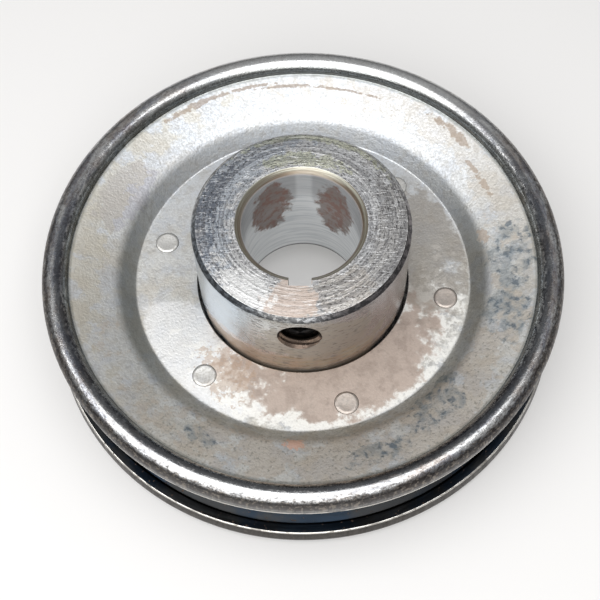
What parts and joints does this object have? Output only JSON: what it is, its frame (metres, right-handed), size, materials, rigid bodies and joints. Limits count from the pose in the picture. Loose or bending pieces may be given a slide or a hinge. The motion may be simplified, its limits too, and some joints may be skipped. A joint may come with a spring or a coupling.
{
  "type": "v-belt pulley",
  "caption": "Pressed-steel V-belt pulley: two riveted sheave halves with rolled rims on a turned hub with a keyed bore and a radial set screw.",
  "frame": {"origin": "on the bore's axis, level with the outermost plane of the rear rim bead", "axes": "+Z along the bore towards the long end of the hub; -Y through the keyway and the set screw; +X completes a right-handed frame"},
  "size_m": [0.115, 0.115, 0.0381],
  "materials": {
    "zinc_sheet": "zinc-plated pressed sheet, satin, worn and spotted, polished at the rim bead",
    "zinc_turned": "zinc-plated turned steel with fine tool marks, scratched, light rust in the bore",
    "rivet_head": "zinc-plated flush rivet end, satin",
    "weld_metal": "zinc-plated weld bead, rippled",
    "black_oxide": "black oxide, oiled"
  },
  "bodies": {
    "pulley": {"front_sheave": "zinc_sheet", "rear_sheave": "zinc_sheet", "hub": "zinc_turned", "rivet_1": "rivet_head", "rivet_2": "rivet_head", "rivet_3": "rivet_head", "rivet_4": "rivet_head", "rivet_5": "rivet_head", "rivet_6": "rivet_head", "hub_weld": "weld_metal"},
    "set_screw": {"set_screw": "black_oxide"}
  },
  "joints": [
    {"name": "set_screw_travel", "type": "slide", "parent": "pulley", "child": "set_screw", "axis": [0, -1, 0], "range_m": [-0.00159, 0.00635]}
  ]
}
